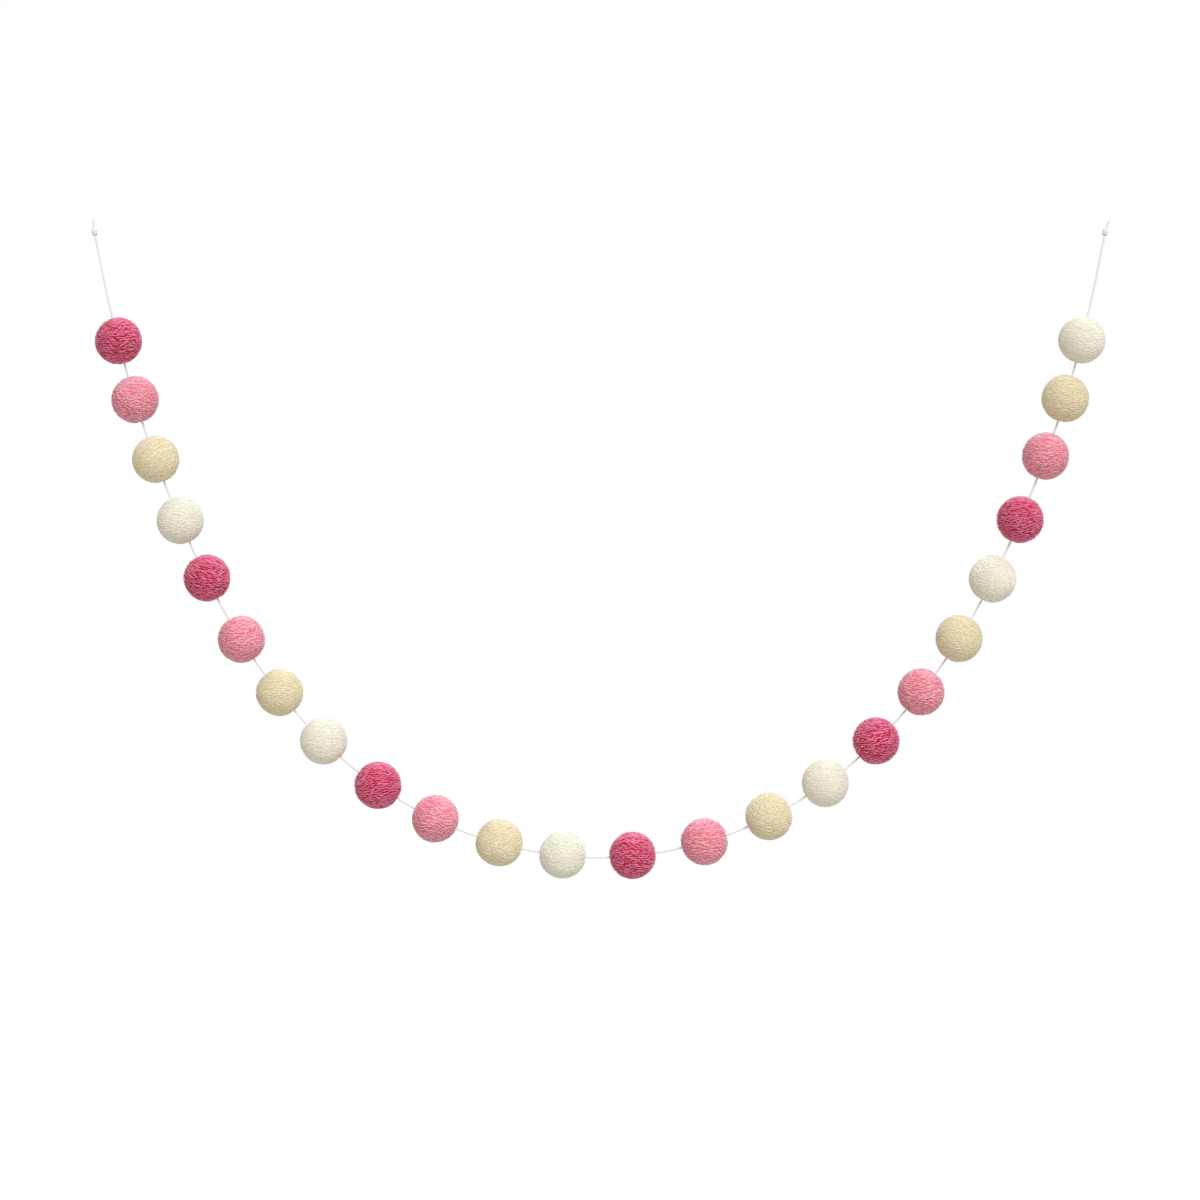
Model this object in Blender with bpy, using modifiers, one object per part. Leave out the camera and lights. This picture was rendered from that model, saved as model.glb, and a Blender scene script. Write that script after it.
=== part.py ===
"""Felt ball garland: wool felt balls threaded on one thin string, which hangs as a deep swag.

Metres, +Z up. The origin lies on the hanging line, midway between the knots that end the string. The swag
hangs in the XZ plane, and its front faces -Y. The balls sit on the string by distance along it, as they
were threaded, so a new route or spacing moves them all.
"""

import math

import bpy
import numpy as np
from mathutils import Vector

MM = 0.001

# Driving dimensions
BALL_DIAMETER = 25 * MM
BORE_DIAMETER = 2.5 * MM
STRING_DIAMETER = 1.2 * MM
KNOT_DIAMETER = 3.6 * MM
KNOT_LENGTH = 4.2 * MM
CLEARANCE = 0.3 * MM  # between the string's end and its knot

# The string's route in mm, from its left knot to the lowest point of the swag. The right half mirrors it.
ROUTE_X_Z = [
    (-266.0, 0.0),
    (-258.0, -38.5),
    (-249.5, -72.0),
    (-239.0, -105.5),
    (-226.5, -138.5),
    (-212.5, -170.5),
    (-196.5, -201.5),
    (-177.5, -231.0),
    (-155.0, -258.0),
    (-129.5, -282.0),
    (-100.5, -301.5),
    (-68.5, -316.5),
    (-35.0, -325.5),
    (0.0, -329.0),
]

# Bare string in front of each ball in mm, from the left knot, by the ball's wool.
# The wools repeat in this order:
WOOLS = ("dark_pink", "pink", "cream", "white")
BARE_STRING = [
    (46.0, 7.0, 8.5, 9.5),
    (8.5, 12.0, 9.5, 9.5),
    (12.0, 10.0, 11.0, 9.0),
    (12.0, 13.5, 11.5, 9.5),
    (10.0, 10.0, 9.5, 11.0),
    (9.5, 11.0, 7.0, 7.0),
]

# Linear base colours
WOOL_COLOURS = {
    "dark_pink": (0.617, 0.119, 0.209),
    "pink": (0.783, 0.301, 0.366),
    "cream": (0.723, 0.645, 0.440),
    "white": (0.745, 0.716, 0.591),
}
STRING_COLOUR = (0.80, 0.79, 0.76)
WOOL_ROUGHNESS = 0.95
STRING_ROUGHNESS = 0.8

# How finely the curved shapes are divided
ROUTE_SAMPLES = 4000
STRING_POINTS = 80
BALL_RINGS = 9
BALL_STEPS = 16
KNOT_RINGS = 6
KNOT_STEPS = 10
MERGE_DISTANCE = 0.01 * MM


def clear_scene():
    """Removes every object that the file holds."""
    for thing in list(bpy.data.objects):
        bpy.data.objects.remove(thing, do_unlink=True)


def new_material(name, colour, roughness):
    """A plain Principled material."""
    material = bpy.data.materials.new(name)
    material.use_nodes = True
    shader = material.node_tree.nodes["Principled BSDF"]
    shader.inputs["Base Color"].default_value = (*colour, 1.0)
    shader.inputs["Roughness"].default_value = roughness
    shader.inputs["Metallic"].default_value = 0.0
    return material


def route_points():
    """The route's own points in metres, left knot to right knot."""
    left = np.array([(x, 0.0, z) for x, z in ROUTE_X_Z]) * MM
    right = left[-2::-1] * (-1, 1, 1)
    return np.vstack([left, right])


class Route:
    """A smooth curve through the route's points, which is read by distance along it.

    Each span is a cubic between two points. Its slope at a point is that of the parabola through the point
    and its two neighbours.
    """

    def __init__(self, points):
        chords = np.linalg.norm(np.diff(points, axis=0), axis=1)
        stations = np.concatenate([[0.0], np.cumsum(chords)])
        slopes = np.gradient(points, stations, axis=0)
        places = np.linspace(0.0, stations[-1], ROUTE_SAMPLES)
        span = np.clip(np.searchsorted(stations, places, side="right") - 1, 0, len(chords) - 1)
        width = chords[span, None]
        u = (places - stations[span])[:, None] / width
        self.curve = (
            points[span] * (1 + 2 * u) * (1 - u) ** 2
            + points[span + 1] * (3 - 2 * u) * u**2
            + slopes[span] * width * u * (1 - u) ** 2
            - slopes[span + 1] * width * (1 - u) * u**2
        )
        steps = np.linalg.norm(np.diff(self.curve, axis=0), axis=1)
        self.distance = np.concatenate([[0.0], np.cumsum(steps)])
        self.length = self.distance[-1]

    def at(self, distance):
        """The curve's point at a distance from its left end."""
        return Vector([np.interp(distance, self.distance, axis) for axis in self.curve.T])


def turned_profile(name, profile, closed, material):
    """A mesh of the (radius, height) points that a Screw modifier turns about Z."""
    mesh = bpy.data.meshes.new(name)
    count = len(profile)
    edges = [(i, i + 1) for i in range(count - 1)]
    if closed:
        edges.append((count - 1, 0))
    mesh.from_pydata([(radius, 0.0, height) for radius, height in profile], edges, [])
    mesh.materials.append(material)
    return mesh


def ball_profile():
    """Down the ball's outside from the rim of its bore. The closing edge is the bore's wall."""
    rim = math.asin(BORE_DIAMETER / BALL_DIAMETER)
    angles = np.linspace(rim, math.pi - rim, BALL_RINGS + 1)
    radius = BALL_DIAMETER / 2
    return [(radius * math.sin(a), radius * math.cos(a)) for a in angles]


def knot_profile():
    """Down a barrel's outside from pole to pole: a superellipse, fuller than a ball."""
    angles = np.linspace(0.0, math.pi, KNOT_RINGS + 1)
    fullness = 0.75
    rows = []
    for angle in angles:
        across = abs(math.sin(angle)) ** fullness
        along = math.copysign(abs(math.cos(angle)) ** fullness, math.cos(angle))
        rows.append((KNOT_DIAMETER / 2 * across, KNOT_LENGTH / 2 * along))
    rows[0] = (0.0, KNOT_LENGTH / 2)
    rows[-1] = (0.0, -KNOT_LENGTH / 2)
    return rows


def turned_piece(name, mesh, steps, place, direction, collection, parent):
    """A profile turned about its own Z, which is laid along the direction."""
    piece = bpy.data.objects.new(name, mesh)
    piece.location = place
    piece.rotation_euler = direction.to_track_quat("Z", "Y").to_euler()
    piece.parent = parent
    collection.objects.link(piece)
    screw = piece.modifiers.new("turn", "SCREW")
    screw.angle = math.tau
    screw.steps = steps
    screw.render_steps = steps
    screw.use_merge_vertices = True
    screw.merge_threshold = MERGE_DISTANCE
    screw.use_smooth_shade = True
    return piece


def ball_distances():
    """Each ball's wool, and the distance of its middle along the string from the left knot."""
    balls = []
    reached = 0.0
    for row in BARE_STRING:
        for wool, bare in zip(WOOLS, row):
            balls.append((wool, reached + bare * MM + BALL_DIAMETER / 2))
            reached += bare * MM + BALL_DIAMETER
    return balls


def add_balls(route, collection, parent):
    """The felt balls, numbered from the left.

    A ball's bore runs along the chord from where the string enters to where it leaves, and lies half way
    between that chord and the string's middle, so the string's bow clears it all the way.
    """
    meshes = {}
    for wool in WOOLS:
        material = new_material(f"wool_{wool}", WOOL_COLOURS[wool], WOOL_ROUGHNESS)
        meshes[wool] = turned_profile(f"ball_{wool}", ball_profile(), True, material)
    for number, (wool, distance) in enumerate(ball_distances(), start=1):
        entry = route.at(distance - BALL_DIAMETER / 2)
        leaving = route.at(distance + BALL_DIAMETER / 2)
        place = ((entry + leaving) / 2 + route.at(distance)) / 2
        name = f"ball_{number:02d}"
        turned_piece(name, meshes[wool], BALL_STEPS, place, leaving - entry, collection, parent)


def add_string(route, material, collection, parent):
    """The string between its two knots, as a bevelled curve with filled ends."""
    start = KNOT_LENGTH / 2 + CLEARANCE
    curve = bpy.data.curves.new("string", "CURVE")
    curve.dimensions = "3D"
    curve.bevel_depth = STRING_DIAMETER / 2
    curve.bevel_resolution = 2
    curve.use_fill_caps = True
    curve.materials.append(material)
    spline = curve.splines.new("POLY")
    spline.points.add(STRING_POINTS - 1)
    for point, distance in zip(spline.points, np.linspace(start, route.length - start, STRING_POINTS)):
        point.co = (*route.at(distance), 1.0)
    string = bpy.data.objects.new("string", curve)
    string.parent = parent
    collection.objects.link(string)


def add_knots(route, material, collection, parent):
    """The knots at the string's two ends, each in line with the string there."""
    mesh = turned_profile("knot", knot_profile(), False, material)
    ends = {
        "knot_left": (0.0, KNOT_LENGTH),
        "knot_right": (route.length, route.length - KNOT_LENGTH),
    }
    for name, (end, inner) in ends.items():
        place = route.at(end)
        turned_piece(name, mesh, KNOT_STEPS, place, place - route.at(inner), collection, parent)


def build():
    """Makes the whole garland."""
    clear_scene()
    collection = bpy.data.collections.new("felt_ball_garland")
    bpy.context.scene.collection.children.link(collection)
    hanging_line = bpy.data.objects.new("hanging_line", None)
    collection.objects.link(hanging_line)
    route = Route(route_points())
    cotton = new_material("string_cotton", STRING_COLOUR, STRING_ROUGHNESS)
    add_balls(route, collection, hanging_line)
    add_string(route, cotton, collection, hanging_line)
    add_knots(route, cotton, collection, hanging_line)


build()
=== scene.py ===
"""Felt ball garland: crinkled wool balls on a twisted string that ends in a wrapped knot at each side.

Metres, +Z up, in the frame of the construction model. The swag hangs in the XZ plane, its front to -Y.
"""

import math

import bpy
import numpy as np
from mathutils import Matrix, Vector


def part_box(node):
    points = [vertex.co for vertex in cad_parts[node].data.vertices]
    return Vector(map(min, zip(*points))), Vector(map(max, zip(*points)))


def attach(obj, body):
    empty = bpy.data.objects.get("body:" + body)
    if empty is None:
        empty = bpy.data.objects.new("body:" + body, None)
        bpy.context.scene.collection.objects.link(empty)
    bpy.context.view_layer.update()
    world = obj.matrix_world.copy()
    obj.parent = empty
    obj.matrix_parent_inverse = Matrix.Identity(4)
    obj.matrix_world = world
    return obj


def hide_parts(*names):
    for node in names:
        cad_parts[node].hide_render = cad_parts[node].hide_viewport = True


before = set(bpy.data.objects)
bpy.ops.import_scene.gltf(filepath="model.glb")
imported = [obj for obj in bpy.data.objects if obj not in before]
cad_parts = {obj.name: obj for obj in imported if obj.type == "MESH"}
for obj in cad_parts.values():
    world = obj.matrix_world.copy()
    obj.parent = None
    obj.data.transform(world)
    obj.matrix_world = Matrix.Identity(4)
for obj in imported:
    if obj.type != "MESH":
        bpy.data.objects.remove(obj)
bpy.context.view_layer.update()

MM = 0.001

# The string's route in mm, from its left knot to the lowest point of the swag. The right half mirrors it.
ROUTE_X_Z = [
    (-266.0, 0.0),
    (-258.0, -38.5),
    (-249.5, -72.0),
    (-239.0, -105.5),
    (-226.5, -138.5),
    (-212.5, -170.5),
    (-196.5, -201.5),
    (-177.5, -231.0),
    (-155.0, -258.0),
    (-129.5, -282.0),
    (-100.5, -301.5),
    (-68.5, -316.5),
    (-35.0, -325.5),
    (0.0, -329.0),
]
ROUTE_SAMPLES = 4000
TOWARDS_BACK = np.array([0.0, 1.0, 0.0])

# String: plies laid together, which show as lobes that wind round it
STRING_DIAMETER = 1.2 * MM
STRING_PLIES = 3
STRING_LAY = 4.2 * MM  # one whole turn of the plies
STRING_RING_STEP = 0.5 * MM
STRING_SIDES = 12
STRING_GROOVE = 0.12  # depth between plies, as a share of the radius
STRING_CROWN = 0.8  # under 1 makes the plies' crowns broader than the grooves between them
STRING_FIBRE_AROUND = 3.0  # radius of the string's section in units of fibre, which are mm along it

# Knots: the string wrapped round itself, with a short cut end
KNOT_TURNS = 2.7
KNOT_PITCH = 1.12 * MM
KNOT_STRING_RADIUS = 0.55 * MM
KNOT_WRAP_RADIUS = 1.1 * MM
KNOT_REACH = 2.4 * MM  # half the knot's length, with a little room
KNOT_TAIL = 4.5 * MM
KNOT_WRAP_RINGS = 90
KNOT_WRAP_DIVE = 0.09  # share of the wraps over which each end dives in
KNOT_TAIL_RINGS = 16
KNOT_TAIL_LEAN = (0.22, 0.088)  # how far the tail leans each way, as shares of its length

# Felt balls
BALLS = 24
BALL_RADIUS = 12.5 * MM
BORE_RADIUS = 0.85 * MM
DIMPLE_DEPTH = 0.5 * MM
DIMPLE_RADIUS = 1.9 * MM
LUMP_HEIGHT = 0.10 * MM
LUMP_WAVES = 5  # long waves over a ball, which leave it slightly out of round
LUMP_RUN = 2.2  # usual radians of such a wave for each ball radius
CORE_RINGS = 26
CORE_BORE_RINGS = 4
CORE_SIDES = 44
BORE_SPAN = 8  # rings of the string each way, between which a ball's bore is laid

# Felted strands in rows round a ball, and single hairs laid loosely over them. Spans are (least, most).
# level, dive and height are shares of the ball's relief: level 0 is the core and 1 the ball's surface.
LIE_STRAY = 0.18  # how far the axis the rows run round leans from upright
PLACE_STRAY = 0.12  # of a strand along its row, as a share of the pitch
ROW_STRAY = 0.16  # of a strand across its row, as a share of the row pitch
SWIRL = 0.22  # radians by which a slow wave turns the strands
SWIRL_RUN = 2.5  # usual radians of that wave for each ball radius
POLE_NUDGE = 0.05  # gives the strands at the ends of the lie axis a heading
STRAND_SIDES = 3
TIP_NARROWING = 0.93  # share of its width squared that a strand has lost at its tips
TIP_REACH = 0.12 * MM  # how far a tip's point is past its last ring
FIBRE_AROUND = 0.6  # radius of a strand's section in units of fibre
FIBRE_ALONG = 5.0  # length of a strand in the same units
FIBRE_APART = 400.0  # the most by which strands are set apart in them, so that no two look alike
STRANDS = {
    "row_pitch": 1.3 * MM,
    "pitch": 3.5 * MM,
    "rings": 10,
    "length": (4.0 * MM, 7.8 * MM),
    "half_width": (0.60 * MM, 0.86 * MM),
    "height": 1.0,
    "sway": (0.12 * MM, 0.36 * MM),
    "wave": (2.8 * MM, 4.6 * MM),
    "bend": 0.45 * MM,
    "level": (0.76, 1.0),
    "dive": 1.1,
    "stray": 0.16,
}
HAIRS = {
    "row_pitch": 2.0 * MM,
    "pitch": 4.2 * MM,
    "rings": 6,
    "length": (3.0 * MM, 8.0 * MM),
    "half_width": (0.05 * MM, 0.08 * MM),
    "height": 0.12,
    "sway": (0.05 * MM, 0.30 * MM),
    "wave": (3.0 * MM, 6.0 * MM),
    "bend": 0.9 * MM,
    "level": (0.92, 1.06),
    "dive": 0.35,
    "stray": 0.75,
}

WOOLS = ("dark_pink", "pink", "cream", "white")

# Linear colours of each wool: painted shade down between strands, the wool's own colour over most of a
# strand, and a painted highlight where light catches its top
WOOL_SHADE_BODY_HIGHLIGHT = {
    "dark_pink": ((0.50, 0.003, 0.038), (1.00, 0.165, 0.345), (1.00, 0.58, 0.78)),
    "pink": ((0.84, 0.15, 0.22), (1.00, 0.49, 0.60), (1.00, 0.68, 0.78)),
    "cream": ((0.79, 0.62, 0.36), (0.86, 0.81, 0.60), (0.88, 0.87, 0.74)),
    "white": ((0.87, 0.79, 0.63), (0.88, 0.88, 0.79), (0.89, 0.91, 0.88)),
}
WOOL_SHEEN = {
    "dark_pink": (1.0, 0.62, 0.76),
    "pink": (1.0, 0.80, 0.86),
    "cream": (0.95, 0.93, 0.86),
    "white": (0.95, 0.95, 0.92),
}
WOOL_RELIEF = {"dark_pink": 0.84 * MM, "pink": 0.60 * MM, "cream": 0.40 * MM, "white": 0.32 * MM}
HAIR_SCALE = 3.2  # cells of noise to each unit of fibre
MAT_SCALE = 2600.0  # cells of matted fibre to the metre
GRAIN_SHARE = 0.52  # the grain's depth as a share of the wool's relief

# What the felt's colour follows: how much each thing raises it, and where it passes from tone to tone.
# Where the relief is low the colour is painted shade, and where it is high a painted highlight.
RELIEF_RAISES = 0.95
GRAIN_RAISES = 1.9
TONE_RAISES = 0.30
PAINTED_SHADE_TO_BODY = (-0.05, 0.64)
BODY_TO_PAINTED_HIGHLIGHT = (0.40, 1.20)
PAINTED_HIGHLIGHT_SHARE = 0.85

STRING_HAIR_SCALE = 2.5
STRING_GRAIN_DEPTH = 0.025 * MM
# Linear colours of the string: faint painted shade in the grooves between plies, its own colour, and a
# faint painted highlight on the crowns
STRING_SHADE_BODY_HIGHLIGHT = ((0.86, 0.88, 0.91), (0.87, 0.89, 0.91), (0.88, 0.90, 0.92))

# Camera, lights and floor
LENS_MM = 100.0
SENSOR_MM = 36.0
PICTURE_WIDTH = 0.6316
PICTURE_MIDDLE_Z = -0.1935
CAMERA_SEES = (0.1, 20.0)  # nearest and furthest
KEY_FROM = (0.28, -0.80, 0.72)
KEY_ENERGY = 2.0
KEY_SPREAD = 0.5  # radians across
TOP_FROM = (0.15, 0.45, 1.0)
TOP_ENERGY = 1.3
TOP_SPREAD = 1.2
LAMP_COLOUR = (0.94, 0.985, 1.0)
ROOM_COLOUR = (1.0, 0.93, 0.85)
ROOM_LIGHT = 0.54  # what the white room gives, where 1 is the white the camera sees
FLOOR_Z = -2.2
FLOOR_SIZE = 8.0
FLOOR_COLOUR = (0.60, 0.59, 0.57)


# ---------------------------------------------------------------- arrays and meshes


def unit(vectors):
    """Each vector divided by its length."""
    return vectors / np.linalg.norm(vectors, axis=-1, keepdims=True)


def between(rng, span, shape):
    """Even random numbers over a (low, high) span."""
    return rng.uniform(span[0], span[1], shape)


def grid_faces(rows, columns, close_rows=False):
    """Quads of a grid of points whose columns join up. close_rows joins its last row to its first."""
    bands = rows if close_rows else rows - 1
    row, column = np.meshgrid(np.arange(bands), np.arange(columns), indexing="ij")
    here = row * columns + column
    beside = row * columns + (column + 1) % columns
    up = (row + 1) % rows * columns
    return np.stack([here, beside, up + (column + 1) % columns, up + column], axis=-1).reshape(-1, 4)


def fan_faces(ring, tip, columns, outward):
    """Triangles from a ring of points, whose first is numbered ring, to one tip."""
    column = np.arange(columns)
    following = (column + 1) % columns
    tips = np.full(columns, tip)
    order = (ring + following, ring + column, tips) if outward else (ring + column, ring + following, tips)
    return np.stack(order, axis=-1)


def new_mesh(name, points, faces, attributes):
    """A smooth mesh from arrays of points and of faces, with its point attributes by name."""
    mesh = bpy.data.meshes.new(name)
    mesh.vertices.add(len(points))
    mesh.vertices.foreach_set("co", points.astype(np.float32).ravel())
    corners = np.concatenate([f.ravel() for f in faces]).astype(np.int32)
    sizes = np.concatenate([np.full(len(f), f.shape[1]) for f in faces]).astype(np.int32)
    mesh.loops.add(len(corners))
    mesh.loops.foreach_set("vertex_index", corners)
    mesh.polygons.add(len(sizes))
    mesh.polygons.foreach_set("loop_start", np.cumsum(sizes, dtype=np.int32) - sizes)
    mesh.update(calc_edges=True)
    mesh.shade_smooth()
    for key, values in attributes.items():
        wide = values.ndim > 1
        layer = mesh.attributes.new(key, "FLOAT_VECTOR" if wide else "FLOAT", "POINT")
        layer.data.foreach_set("vector" if wide else "value", values.astype(np.float32).ravel())
    return mesh


def new_piece(name, mesh, material, slot, *nodes):
    """A piece that stands for nodes of the construction model, on the one body, with the material given.
    slot is not used.
    """
    piece = bpy.data.objects.new(name, mesh)
    bpy.context.scene.collection.objects.link(piece)
    mesh.materials.append(material)
    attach(piece, "root")
    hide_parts(*nodes)
    return piece


# ---------------------------------------------------------------- materials


class Value:
    """A number in a material: one socket, whose operators add Math nodes."""

    def __init__(self, finish, socket):
        self.finish = finish
        self.socket = socket

    def maths(self, operation, *operands):
        """A Math node of that operation on these operands."""
        sockets = {i: operand for i, operand in enumerate(operands)}
        return self.finish.node("ShaderNodeMath", {"operation": operation}, sockets)

    def __add__(self, other):
        return self.maths("ADD", self, other)

    __radd__ = __add__

    def __mul__(self, other):
        return self.maths("MULTIPLY", self, other)

    __rmul__ = __mul__

    def __sub__(self, other):
        return self.maths("SUBTRACT", self, other)

    def __rsub__(self, other):
        return self.maths("SUBTRACT", other, self)


class Finish:
    """A material under construction."""

    def __init__(self, name):
        self.material = bpy.data.materials.new(name)
        self.material.use_nodes = True
        self.tree = self.material.node_tree
        self.shader = self.tree.nodes["Principled BSDF"]

    def set_socket(self, socket, value):
        """Links a Value to the socket, or sets it to a constant."""
        if isinstance(value, Value):
            self.tree.links.new(value.socket, socket)
        else:
            socket.default_value = value

    def node(self, kind, settings, sockets, output=0):
        """A node of that kind: its settings first, then its sockets by name or number, and one output."""
        node = self.tree.nodes.new(kind)
        for key, value in settings.items():
            setattr(node, key, value)
        for key, value in sockets.items():
            self.set_socket(node.inputs[key], value)
        return Value(self, node.outputs[output])

    def attribute(self, name, output):
        """A point attribute of the piece, as the output Fac or Vector."""
        return self.node("ShaderNodeAttribute", {"attribute_name": name}, {}, output)

    def noise(self, vector, scale, detail, roughness):
        """Fractal noise from 0 to 1 on a vector."""
        sockets = {"Vector": vector, "Scale": scale, "Detail": detail, "Roughness": roughness}
        return self.node("ShaderNodeTexNoise", {}, sockets, "Fac")

    def mix(self, factor, first, second):
        """Two colours mixed by a number."""
        return self.node("ShaderNodeMix", {"data_type": "RGBA"}, {0: factor, 6: first, 7: second}, 2)

    def step(self, value, low, high):
        """A smooth climb from 0 at low to 1 at high."""
        settings = {"interpolation_type": "SMOOTHSTEP"}
        sockets = {"Value": value, "From Min": low, "From Max": high}
        return self.node("ShaderNodeMapRange", settings, sockets)

    def bump(self, height, distance):
        """The normal of the surface raised by a height from 0 to 1, where 1 is that distance."""
        return self.node("ShaderNodeBump", {}, {"Strength": 1.0, "Distance": distance, "Height": height})

    def surface(self, **sockets):
        """Sets the Principled shader's sockets, with spaces in their names written as underscores."""
        for key, value in sockets.items():
            self.set_socket(self.shader.inputs[key.replace("_", " ")], value)
        return self.material


def rgba(colour):
    """A linear colour with full alpha."""
    return (*colour, 1.0)


def felt_finish(wool):
    """Wet-felted wool, its colour painted darker as shade between strands and paler as a highlight on their
    crests.

    The attribute relief is 0 in the gaps between strands and 1 on their crests, tone differs from strand to
    strand, and fibre runs along each strand, so noise on it is drawn out into hairs. A finer noise over the
    ball itself mats the strands together.
    """
    finish = Finish(f"wool_{wool}")
    painted_shade, body, top = (rgba(tone) for tone in WOOL_SHADE_BODY_HIGHLIGHT[wool])
    relief = finish.attribute("relief", "Fac")
    tone = finish.attribute("tone", "Fac")
    fibre = finish.attribute("fibre", "Vector")
    place = finish.node("ShaderNodeTexCoord", {}, {}, "Object")
    hairs = finish.noise(fibre, HAIR_SCALE, 4.0, 0.65)
    mat = finish.noise(place, MAT_SCALE, 3.0, 0.7)
    grain = hairs * 0.5 + mat * 0.5 - 0.5
    height = relief * RELIEF_RAISES + grain * GRAIN_RAISES + (tone - 0.5) * TONE_RAISES
    # painted shade where the height is low, the wool's own colour above it, and a painted highlight on the
    # crests
    colour = finish.mix(finish.step(height, *PAINTED_SHADE_TO_BODY), painted_shade, body)
    colour = finish.mix(finish.step(height, *BODY_TO_PAINTED_HIGHLIGHT) * PAINTED_HIGHLIGHT_SHARE, colour, top)
    bump = finish.bump(grain, GRAIN_SHARE * WOOL_RELIEF[wool])
    return finish.surface(
        Base_Color=colour,
        Roughness=0.92,
        Normal=bump,
        Sheen_Weight=0.7,
        Sheen_Roughness=0.4,
        Sheen_Tint=rgba(WOOL_SHEEN[wool]),
        Specular_IOR_Level=0.15,
    )


def cotton_finish():
    """Twisted cotton, with faint painted shade in the grooves between plies and a faint painted highlight
    on their crowns. relief is 0 in the grooves between plies and 1 on their crowns.
    """
    finish = Finish("string_cotton")
    painted_shade, body, top = (rgba(tone) for tone in STRING_SHADE_BODY_HIGHLIGHT)
    relief = finish.attribute("relief", "Fac")
    fibre = finish.attribute("fibre", "Vector")
    hairs = finish.noise(fibre, STRING_HAIR_SCALE, 3.0, 0.6)
    height = relief + (hairs - 0.5) * 0.6
    # painted shade in the grooves, a painted highlight on the crowns
    colour = finish.mix(finish.step(height, 0.0, 0.5), painted_shade, body)
    colour = finish.mix(finish.step(height, 0.5, 1.1), colour, top)
    bump = finish.bump(hairs, STRING_GRAIN_DEPTH)
    return finish.surface(
        Base_Color=colour,
        Roughness=0.85,
        Normal=bump,
        Sheen_Weight=0.15,
        Specular_IOR_Level=0.2,
    )


# ---------------------------------------------------------------- string and knots


def even_path(points, step):
    """A smooth curve through the points, read about every step along it.

    Each span is a cubic between two points. Its slope at a point is that of the parabola through the point
    and its two neighbours.
    """
    chords = np.linalg.norm(np.diff(points, axis=0), axis=1)
    stations = np.concatenate([[0.0], np.cumsum(chords)])
    slopes = np.gradient(points, stations, axis=0)
    places = np.linspace(0.0, stations[-1], ROUTE_SAMPLES)
    span = np.clip(np.searchsorted(stations, places, side="right") - 1, 0, len(chords) - 1)
    width = chords[span, None]
    u = (places - stations[span])[:, None] / width
    curve = (
        points[span] * (1 + 2 * u) * (1 - u) ** 2
        + points[span + 1] * (3 - 2 * u) * u**2
        + slopes[span] * width * u * (1 - u) ** 2
        - slopes[span + 1] * width * (1 - u) * u**2
    )
    reached = np.concatenate([[0.0], np.cumsum(np.linalg.norm(np.diff(curve, axis=0), axis=1))])
    even = np.linspace(0.0, reached[-1], round(reached[-1] / step) + 1)
    return np.stack([np.interp(even, reached, axis) for axis in curve.T], axis=-1)


def route_points():
    """The route's own points in metres, left knot to right knot."""
    left = np.array([(x, 0.0, z) for x, z in ROUTE_X_Z]) * MM
    return np.vstack([left, left[-2::-1] * (-1, 1, 1)])


def carried_frames(path, side):
    """Three unit vectors at each point of the path: ahead, side made square to it, and their cross."""
    ahead = unit(np.gradient(path, axis=0))
    across = unit(side - (ahead @ side)[:, None] * ahead)
    return ahead, across, np.cross(ahead, across)


def twisted_cord(path, radius, side):
    """A plied cord: a lobed round section carried along the path.

    The section's radius is the cord's, less a groove between plies that is deepest where the plies meet and
    rises with the sine of the angle across each ply. The section turns once every lay, and its points turn
    with it, so an edge of the mesh follows each ply.
    """
    _, across, up = carried_frames(path, side)
    reached = np.concatenate([[0.0], np.cumsum(np.linalg.norm(np.diff(path, axis=0), axis=1))])
    phase = np.arange(STRING_SIDES) / STRING_SIDES * math.tau
    crown = np.abs(np.sin(STRING_PLIES * phase / 2)) ** STRING_CROWN
    angle = phase[None, :] + math.tau * reached[:, None] / STRING_LAY
    reach = radius * (1 - STRING_GROOVE * (1 - crown[None, :]))
    points = (
        path[:, None, :]
        + (reach * np.cos(angle))[..., None] * across[:, None, :]
        + (reach * np.sin(angle))[..., None] * up[:, None, :]
    )
    shape = angle.shape
    turned = np.stack([np.cos(phase), np.sin(phase)], axis=-1)
    around = np.broadcast_to(turned * STRING_FIBRE_AROUND, (*shape, 2))
    along = np.broadcast_to(reached[:, None, None] / MM, (*shape, 1))
    fibre = np.concatenate([around, along], axis=-1)
    attributes = {
        "fibre": np.concatenate([fibre.reshape(-1, 3), np.zeros((2, 3))]),
        "relief": np.concatenate([np.broadcast_to(crown, shape).ravel(), [0.5, 0.5]]),
    }
    return np.concatenate([points.reshape(-1, 3), path[[0, -1]]]), capped_faces(*shape), attributes


def capped_faces(rows, columns):
    """Faces of a tube of rings, with a fan at each end to the two points numbered after its rings."""
    last = (rows - 1) * columns
    return [
        grid_faces(rows, columns),
        fan_faces(0, rows * columns, columns, True),
        fan_faces(last, rows * columns + 1, columns, False),
    ]


def add_string(material):
    """The string from knot to knot. Returns it with its path."""
    path = even_path(route_points(), STRING_RING_STEP)
    mesh = new_mesh("garland_string", *twisted_cord(path, STRING_DIAMETER / 2, TOWARDS_BACK))
    return new_piece("garland_string", mesh, material, "string_cotton", "string"), path


def wrap_path():
    """The knot's wraps, along Z: a helix round the string whose two ends dive in to its middle."""
    turn = np.linspace(0.0, 1.0, KNOT_WRAP_RINGS)
    angle = math.tau * KNOT_TURNS * turn
    dive = np.clip(np.minimum(turn, 1 - turn) / KNOT_WRAP_DIVE, 0.0, 1.0)
    radius = KNOT_WRAP_RADIUS * (1 - (1 - dive) ** 2)
    height = (turn - 0.5) * KNOT_PITCH * KNOT_TURNS
    return np.stack([radius * np.cos(angle), radius * np.sin(angle), height], axis=-1)


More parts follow.
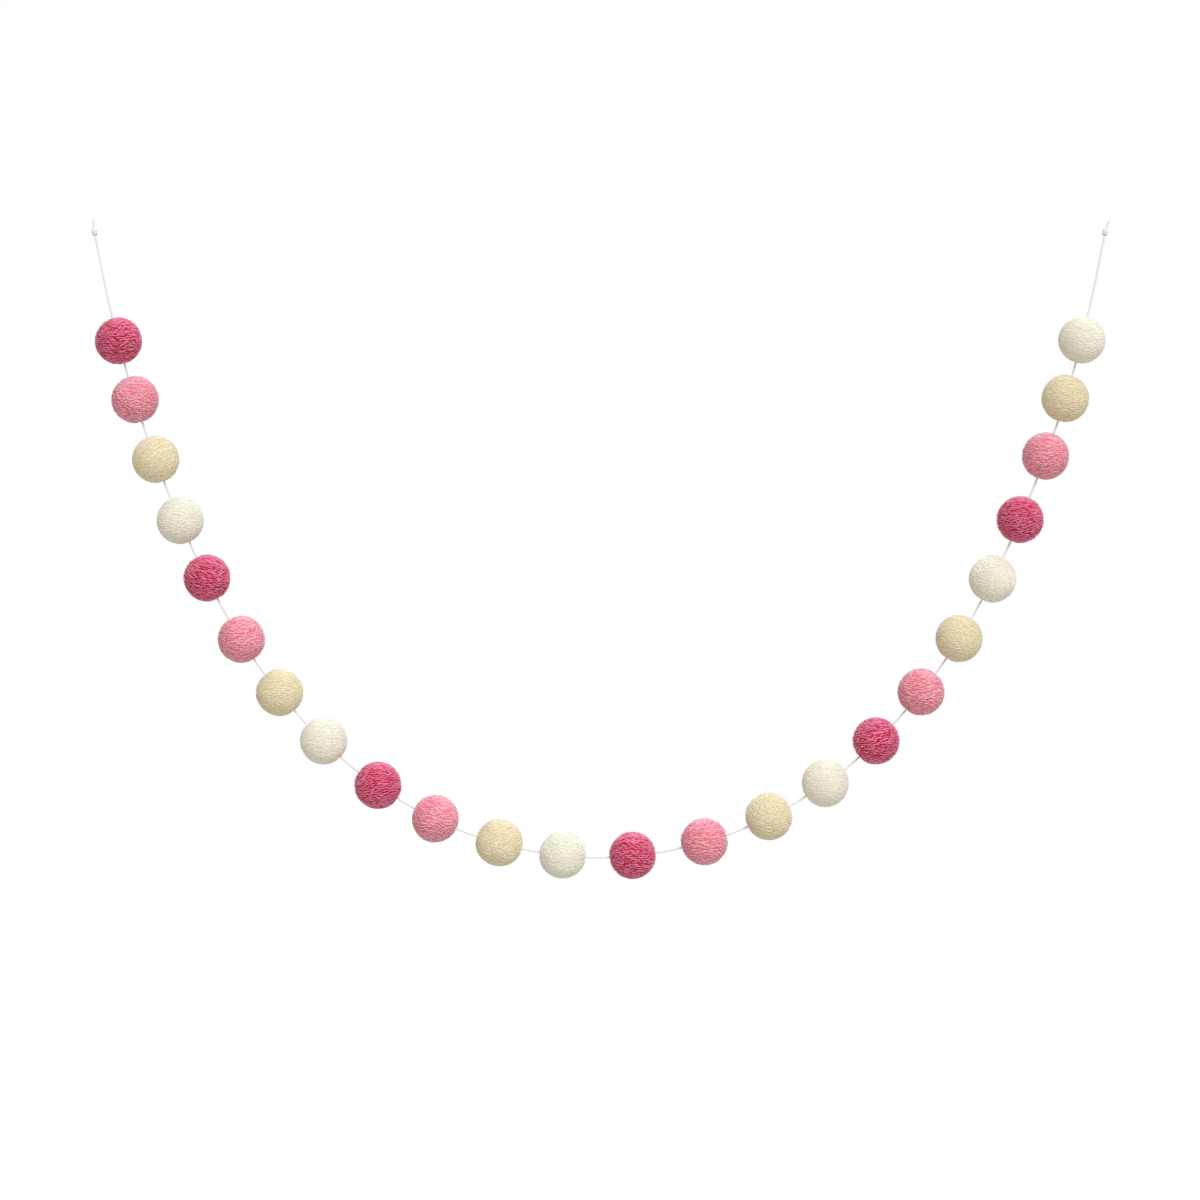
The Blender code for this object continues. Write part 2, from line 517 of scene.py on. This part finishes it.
def tail_path():
    """The knot's cut end, along Z from inside the wraps: it leans over in a slight curve."""
    rise = np.linspace(0.0, 1.0, KNOT_TAIL_RINGS)
    lean = KNOT_TAIL * rise**2
    height = rise * (KNOT_REACH + KNOT_TAIL)
    return np.stack([KNOT_TAIL_LEAN[0] * lean, KNOT_TAIL_LEAN[1] * lean, height], axis=-1)


def add_knot(name, node, place, out, material):
    """A knot at one end of the string: its wraps and its cut end, whose Z is laid along out."""
    across = unit(np.cross(TOWARDS_BACK, out))
    turn = np.stack([across, TOWARDS_BACK, out])
    parts = [
        twisted_cord(wrap_path() @ turn + place, KNOT_STRING_RADIUS, out),
        twisted_cord(tail_path() @ turn + place, STRING_DIAMETER / 2, TOWARDS_BACK),
    ]
    return new_piece(name, new_mesh(name, *joined(parts)), material, "string_cotton", node)


def joined(parts):
    """Several (points, faces, attributes) as one."""
    starts = np.cumsum([0] + [len(points) for points, _, _ in parts])
    points = np.concatenate([part[0] for part in parts])
    faces = [face + start for (_, some, _), start in zip(parts, starts) for face in some]
    attributes = {key: np.concatenate([part[2][key] for part in parts]) for key in parts[0][2]}
    return points, faces, attributes


# ---------------------------------------------------------------- felt balls


def ball_axes(along):
    """Three unit vectors of a ball as rows: two across its bore, and the bore's own."""
    along = unit(along)
    across = unit(np.cross([0.0, 1.0, 0.0], along))
    return np.stack([across, np.cross(along, across), along])


def felt_radius(directions, felt):
    """The core's radius towards each direction.

    It is a ball's radius, plus a few long waves over the ball that leave it slightly out of round, less a
    dimple round each end of the bore.
    """
    lumps = np.sin(directions @ felt["runs"].T + felt["phases"]).mean(axis=-1) * LUMP_HEIGHT * 2
    from_bore = np.arccos(np.clip(np.abs(directions[..., 2]), 0.0, 1.0)) * BALL_RADIUS
    dimple = DIMPLE_DEPTH * np.exp(-((from_bore / DIMPLE_RADIUS) ** 2))
    return BALL_RADIUS - felt["relief"] + lumps - dimple


def core_surface(felt):
    """The ball's core with its bore, along Z: a closed profile turned about the bore.

    The profile runs down the outside from the bore's rim, then back up the bore's wall.
    """
    rim = BORE_RADIUS / BALL_RADIUS
    polar = np.linspace(rim, math.pi - rim, CORE_RINGS)
    around = np.arange(CORE_SIDES) / CORE_SIDES * math.tau
    outward = np.stack(
        [
            np.sin(polar)[:, None] * np.cos(around),
            np.sin(polar)[:, None] * np.sin(around),
            np.broadcast_to(np.cos(polar)[:, None], (CORE_RINGS, CORE_SIDES)),
        ],
        axis=-1,
    )
    outside = outward * felt_radius(outward, felt)[..., None]
    share = np.linspace(0.0, 1.0, CORE_BORE_RINGS + 2)[1:-1, None, None]
    wall = outside[-1] * (1 - share) + outside[0] * share
    points = np.concatenate([outside, wall]).reshape(-1, 3)
    faces = [grid_faces(CORE_RINGS + CORE_BORE_RINGS, CORE_SIDES, close_rows=True)[:, ::-1]]
    count = len(points)
    # relief 0 gives the core the painted shade that shows between strands
    attributes = {"fibre": points / MM, "relief": np.zeros(count), "tone": np.full(count, 0.5)}
    return points, faces, attributes


def row_directions(kind, lie, rng):
    """The strands' middles, as directions in rows round the lie axis, each moved a little at random."""
    row_turn = kind["row_pitch"] / BALL_RADIUS
    polar = np.arange(0.5, math.pi / row_turn) * row_turn
    counts = np.maximum(np.round(math.tau * np.sin(polar) * BALL_RADIUS / kind["pitch"]), 1).astype(int)
    row = np.repeat(np.arange(len(polar)), counts)
    number = np.arange(len(row)) - np.repeat(np.cumsum(counts) - counts, counts)
    shift = rng.uniform(0.0, 1.0, len(polar))[row] + rng.normal(0.0, PLACE_STRAY, len(row))
    angle = math.tau * (number + shift) / counts[row]
    tilt = polar[row] + rng.normal(0.0, ROW_STRAY, len(row)) * row_turn
    first = unit(np.cross(lie, [0.3, 1.0, 0.2]))
    second = np.cross(lie, first)
    level = np.cos(angle)[:, None] * first + np.sin(angle)[:, None] * second
    return np.cos(tilt)[:, None] * lie + np.sin(tilt)[:, None] * level


def strand_headings(kind, starts, lie, rng):
    """The way each strand sets off: round the lie axis, turned by a slow wave and by chance."""
    east = unit(np.cross(lie, starts) + POLE_NUDGE * rng.normal(size=starts.shape))
    east = unit(east - (east * starts).sum(-1, keepdims=True) * starts)
    north = np.cross(starts, east)
    swirl = SWIRL * np.sin(starts @ rng.normal(0.0, SWIRL_RUN, 3) + rng.uniform(0, math.tau))
    angle = swirl + rng.normal(0.0, kind["stray"], len(starts))
    return east * np.cos(angle)[:, None] + north * np.sin(angle)[:, None]


def strand_lines(kind, lie, felt, rng):
    """Crests of the strands, as strand by ring by 3, and the place of each ring from -1 to 1.

    A strand runs along a great circle from its middle both ways, sways to the side as a sine and bends a
    little one way. It keeps its own level over the core, and its ends dive in under its neighbours.
    """
    starts = row_directions(kind, lie, rng)
    headings = strand_headings(kind, starts, lie, rng)
    sideways = np.cross(starts, headings)
    shape = (len(starts), 1)
    place = np.linspace(-1.0, 1.0, kind["rings"])[None, :]
    travel = place * between(rng, kind["length"], shape) / 2
    sway = between(rng, kind["sway"], shape) * np.sin(
        math.tau * travel / between(rng, kind["wave"], shape) + rng.uniform(0, math.tau, shape)
    )
    bend = rng.normal(0.0, kind["bend"], shape) * place**2
    turned = travel / BALL_RADIUS
    outward = unit(
        np.cos(turned)[..., None] * starts[:, None, :]
        + np.sin(turned)[..., None] * headings[:, None, :]
        + ((sway + bend) / BALL_RADIUS)[..., None] * sideways[:, None, :]
    )
    level = (between(rng, kind["level"], shape) - kind["dive"] * np.abs(place) ** 3) * felt["relief"]
    return outward, outward * (felt_radius(outward, felt) + level)[..., None], place


def strand_surfaces(kind, lie, felt, rng):
    """Strands of one kind: a three-sided section hung from each crest, narrowed to a tip at both ends."""
    outward, lines, place = strand_lines(kind, lie, felt, rng)
    ahead = unit(np.gradient(lines, axis=1))
    across = unit(np.cross(ahead, outward))
    lifted = np.cross(across, ahead)
    taper = np.sqrt(1 - TIP_NARROWING * np.abs(place) ** 4)
    width = between(rng, kind["half_width"], (len(lines), 1)) * taper
    height = np.broadcast_to(kind["height"] * felt["relief"] * taper, width.shape)
    phase = np.arange(STRAND_SIDES) / STRAND_SIDES * math.tau + math.pi / 2
    points = (
        lines[:, :, None, :]
        + (width[..., None] * np.cos(phase))[..., None] * across[:, :, None, :]
        + (height[..., None] * (np.sin(phase) - 1.0))[..., None] * lifted[:, :, None, :]
    )
    ends = [0, -1]
    beyond = TIP_REACH * ahead[:, ends, :] * np.array([-1.0, 1.0])[None, :, None]
    tips = lines[:, ends, :] - height[:, ends, None] * lifted[:, ends, :] + beyond
    return strand_arrays(points, tips, phase, felt, rng)


def strand_arrays(points, tips, phase, felt, rng):
    """Joins the strands' rings and tips into one set of points, faces and attributes."""
    count, rings, sides, _ = points.shape
    each = rings * sides + 2
    everything = np.concatenate([points.reshape(count, -1, 3), tips], axis=1)
    one = [
        grid_faces(rings, sides)[:, ::-1],
        fan_faces(0, rings * sides, sides, False),
        fan_faces((rings - 1) * sides, rings * sides + 1, sides, True),
    ]
    starts = (np.arange(count) * each)[:, None, None]
    faces = [(some[None] + starts).reshape(-1, some.shape[1]) for some in one]
    # relief runs from 0 at the core to 1 at the surface; the finish paints shade where it is low and a
    # highlight where it is high
    over_core = np.linalg.norm(everything, axis=-1) - felt_radius(unit(everything), felt)
    relief = np.clip(over_core / felt["relief"], 0.0, 1.0)
    tone = np.repeat(rng.uniform(0.0, 1.0, count), each)
    attributes = {"fibre": strand_fibre(count, rings, phase, rng), "relief": relief.ravel(), "tone": tone}
    return everything.reshape(-1, 3), faces, attributes


def strand_fibre(count, rings, phase, rng):
    """Each point's place in its strand: two numbers round the section, one along it, moved per strand."""
    sides = len(phase)
    fibre = np.zeros((count, rings * sides + 2, 3))
    around = np.stack([np.cos(phase), np.sin(phase)], axis=-1) * FIBRE_AROUND
    fibre[:, :-2, :2] = np.tile(around, (rings, 1))
    fibre[:, :-2, 2] = np.repeat(np.linspace(0.0, FIBRE_ALONG, rings), sides)
    fibre[:, -1, 2] = FIBRE_ALONG
    return (fibre + rng.uniform(0.0, FIBRE_APART, (count, 1, 3))).reshape(-1, 3)


def add_ball(number, path, materials):
    """One felt ball where its node is in the construction model, with its bore along the string."""
    node = f"ball_{number:02d}"
    wool = WOOLS[(number - 1) % len(WOOLS)]
    rng = np.random.default_rng(1000 + number)
    lowest, highest = (np.array(corner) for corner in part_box(node))
    centre = (lowest + highest) / 2
    nearest = np.linalg.norm(path - centre, axis=1).argmin()
    axes = ball_axes(path[nearest + BORE_SPAN] - path[nearest - BORE_SPAN])
    felt = {
        "runs": rng.normal(0.0, LUMP_RUN, (LUMP_WAVES, 3)),
        "phases": rng.uniform(0, math.tau, LUMP_WAVES),
        "relief": WOOL_RELIEF[wool],
    }
    lie = axes @ unit(np.array([0.0, 0.0, 1.0]) + rng.normal(0.0, LIE_STRAY, 3))
    strands = [strand_surfaces(kind, lie, felt, rng) for kind in (STRANDS, HAIRS)]
    points, faces, attributes = joined([core_surface(felt), *strands])
    mesh = new_mesh(f"felt_{node}", points @ axes + centre, faces, attributes)
    piece = new_piece(f"felt_{node}", mesh, materials[wool], f"wool_{wool}", node)


# ---------------------------------------------------------------- picture


def add_camera():
    """Level with the middle of the swag, straight in front of it, through a long lens."""
    data = bpy.data.cameras.new("camera")
    data.lens = LENS_MM
    data.sensor_width = SENSOR_MM
    data.clip_start, data.clip_end = CAMERA_SEES
    camera = bpy.data.objects.new("camera", data)
    camera.location = (0.0, -PICTURE_WIDTH * LENS_MM / SENSOR_MM, PICTURE_MIDDLE_Z)
    camera.rotation_euler = (math.pi / 2, 0.0, 0.0)
    bpy.context.scene.collection.objects.link(camera)
    bpy.context.scene.camera = camera


def add_light(name, source, energy, spread):
    """A wide soft light that shines from that direction, and from spread radians round it."""
    data = bpy.data.lights.new(name, "SUN")
    data.energy = energy
    data.angle = spread
    data.color = LAMP_COLOUR
    light = bpy.data.objects.new(name, data)
    x, y, z = source
    light.location = source
    light.rotation_euler = (math.atan2(math.hypot(x, y), z), 0.0, math.atan2(y, x) + math.pi / 2)
    bpy.context.scene.collection.objects.link(light)


def add_studio():
    """A white room: seen directly it is plain white, and it lights the garland more dimly."""
    world = bpy.data.worlds.new("studio")
    bpy.context.scene.world = world
    world.use_nodes = True
    nodes = world.node_tree.nodes
    links = world.node_tree.links
    background = nodes["Background"]
    seen = nodes.new("ShaderNodeLightPath")
    strength = nodes.new("ShaderNodeMapRange")
    strength.inputs["To Min"].default_value = ROOM_LIGHT
    strength.inputs["To Max"].default_value = 1.0
    links.new(seen.outputs["Is Camera Ray"], strength.inputs["Value"])
    links.new(strength.outputs["Result"], background.inputs["Strength"])
    tint = nodes.new("ShaderNodeMix")
    tint.data_type = "RGBA"
    tint.inputs["A"].default_value = rgba(ROOM_COLOUR)
    tint.inputs["B"].default_value = rgba((1.0, 1.0, 1.0))
    links.new(seen.outputs["Is Camera Ray"], tint.inputs["Factor"])
    links.new(tint.outputs["Result"], background.inputs["Color"])
    add_light("key_light", KEY_FROM, KEY_ENERGY, KEY_SPREAD)
    add_light("top_light", TOP_FROM, TOP_ENERGY, TOP_SPREAD)
    bpy.context.scene.view_settings.view_transform = "Standard"


def add_floor():
    """A plain pale floor well under the swag."""
    corners = np.array([(-1, -1, 0), (1, -1, 0), (1, 1, 0), (-1, 1, 0)]) * FLOOR_SIZE / 2
    mesh = new_mesh("floor", corners + (0.0, 0.0, FLOOR_Z), [np.array([[0, 1, 2, 3]])], {})
    mesh.materials.append(Finish("pale_floor").surface(Base_Color=rgba(FLOOR_COLOUR), Roughness=0.9))
    floor = bpy.data.objects.new("floor", mesh)
    bpy.context.scene.collection.objects.link(floor)


# ---------------------------------------------------------------- garland

add_camera()
cotton = cotton_finish()
string, string_path = add_string(cotton)
string_ahead = unit(np.gradient(string_path, axis=0))
knots = [
    add_knot("end_knot_left", "knot_left", string_path[0], -string_ahead[0], cotton),
    add_knot("end_knot_right", "knot_right", string_path[-1], string_ahead[-1], cotton),
]
wools = {wool: felt_finish(wool) for wool in WOOLS}
for ball_number in range(1, BALLS + 1):
    add_ball(ball_number, string_path, wools)
add_studio()
add_floor()
